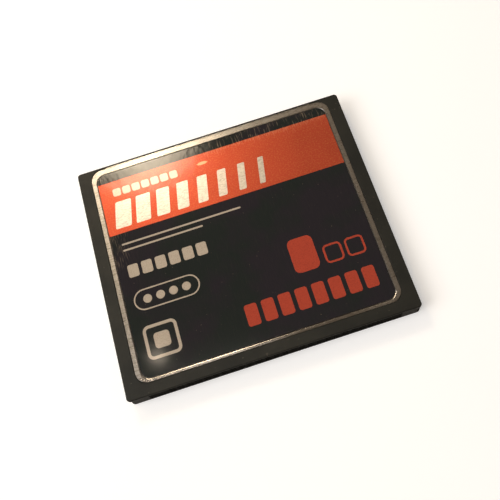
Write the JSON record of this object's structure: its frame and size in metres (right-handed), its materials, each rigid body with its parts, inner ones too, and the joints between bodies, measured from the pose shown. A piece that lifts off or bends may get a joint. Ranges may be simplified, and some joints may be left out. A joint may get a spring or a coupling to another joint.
{
  "type": "compact flash card",
  "caption": "Flat memory card: black moulded frame, steel covers, printed label in a sunk pocket, socket openings along one edge and guide grooves in both sides.",
  "frame": {"origin": "under the middle of the card, on its underside", "axes": "+X along the connector edge, +Y from the connector edge to the grip edge, +Z the label side"},
  "size_m": [0.0428, 0.0364, 0.0033],
  "materials": {
    "frame_plastic": "fine matt moulded",
    "cover_steel": "satin rolled",
    "label_film": "satin print",
    "amber_film": "clear amber",
    "board_laminate": "solder mask",
    "connector_plastic": "moulded",
    "contact_plating": "gold flash",
    "chip_epoxy": "moulded",
    "lead_tin": "tin plate",
    "crystal_ceramic": "fired",
    "crystal_metal": "plated",
    "tantalum_epoxy": "moulded",
    "capacitor_ceramic": "fired",
    "resistor_film": "coated"
  },
  "bodies": {
    "root": {"upper_frame": "frame_plastic", "lower_frame": "frame_plastic", "top_cover": "cover_steel", "bottom_cover": "cover_steel", "front_label": "label_film", "upper_insulator": "amber_film", "lower_insulator": "amber_film", "circuit_board": "board_laminate", "connector_housing": "connector_plastic", "upper_contacts": "contact_plating", "lower_contacts": "contact_plating", "flash_chip_left": "chip_epoxy", "flash_chip_right": "chip_epoxy", "flash_leads_left": "lead_tin", "flash_leads_right": "lead_tin", "controller_chip": "chip_epoxy", "controller_leads": "lead_tin", "voltage_regulator": "chip_epoxy", "regulator_leads": "lead_tin", "crystal_base": "crystal_ceramic", "crystal_lid": "crystal_metal", "tantalum_capacitors": "tantalum_epoxy", "tantalum_terminals": "lead_tin", "ceramic_capacitors": "capacitor_ceramic", "capacitor_terminals": "lead_tin", "chip_resistors": "resistor_film", "resistor_terminals": "lead_tin"}
  },
  "joints": []
}
